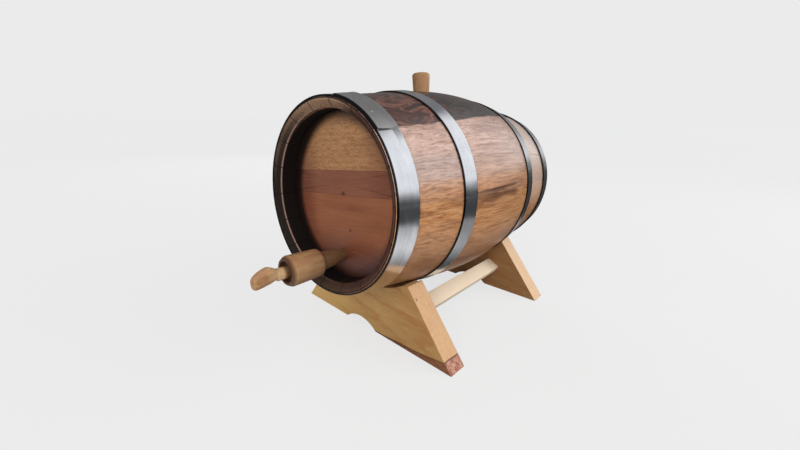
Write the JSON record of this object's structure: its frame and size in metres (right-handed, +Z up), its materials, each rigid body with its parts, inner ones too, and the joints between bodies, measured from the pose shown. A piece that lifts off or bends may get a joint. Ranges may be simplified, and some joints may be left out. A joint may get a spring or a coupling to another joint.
{
  "type": "oak cask liquor dispenser",
  "caption": "Small coopered cask with metal hoops and a wooden tap and bung, lying on a notched two-board cradle with stretchers.",
  "frame": {"origin": "on the resting surface, under the middle of the bounding box", "axes": "+X to the right seen from the tap, +Y from the tap to the rear head, +Z up"},
  "size_m": [0.2576, 0.4264, 0.3101],
  "materials": {
    "oak_stave": "waxed, open grain",
    "oak_head": "waxed, flat sawn",
    "hoop_steel": "bright zinc coated strip",
    "rivet_steel": "satin",
    "turned_wood": "turned, bare",
    "cradle_pine": "sanded, oiled",
    "dowel_wood": "bare"
  },
  "bodies": {
    "cradle": {"cradle_front_board": "cradle_pine", "cradle_rear_board": "cradle_pine", "left_stretcher": "cradle_pine", "right_stretcher": "cradle_pine", "stretcher_dowels": "dowel_wood"},
    "cask": {"bung_stave": "oak_stave", "stave_02": "oak_stave", "stave_03": "oak_stave", "stave_04": "oak_stave", "stave_05": "oak_stave", "stave_06": "oak_stave", "stave_07": "oak_stave", "stave_08": "oak_stave", "stave_09": "oak_stave", "stave_10": "oak_stave", "stave_11": "oak_stave", "stave_12": "oak_stave", "stave_13": "oak_stave", "stave_14": "oak_stave", "stave_15": "oak_stave", "stave_16": "oak_stave", "stave_17": "oak_stave", "stave_18": "oak_stave", "front_head_upper_board": "oak_head", "front_head_middle_board": "oak_head", "front_head_lower_board": "oak_head", "rear_head_upper_board": "oak_head", "rear_head_middle_board": "oak_head", "rear_head_lower_board": "oak_head", "front_head_dowels": "dowel_wood", "rear_head_dowels": "dowel_wood", "front_head_hoop": "hoop_steel", "front_quarter_hoop": "hoop_steel", "rear_quarter_hoop": "hoop_steel", "rear_head_hoop": "hoop_steel", "hoop_rivets": "rivet_steel", "tap_body": "turned_wood"},
    "bung": {"bung": "turned_wood"},
    "tap_key": {"tap_key": "turned_wood"}
  },
  "joints": [
    {"name": "cask_lift", "type": "slide", "parent": "cradle", "child": "cask", "axis": [0, 0, 1], "range_m": [0, 0.12]},
    {"name": "bung_pull", "type": "slide", "parent": "cask", "child": "bung", "axis": [-0.0958, 0.0382, 0.9947], "range_m": [0, 0.06]},
    {"name": "tap_turn", "type": "hinge", "parent": "cask", "child": "tap_key", "pos_m": [0.00416, -0.15923, 0.11362], "axis": [0.0013, -0.9997, 0.0245], "continuous": true}
  ]
}
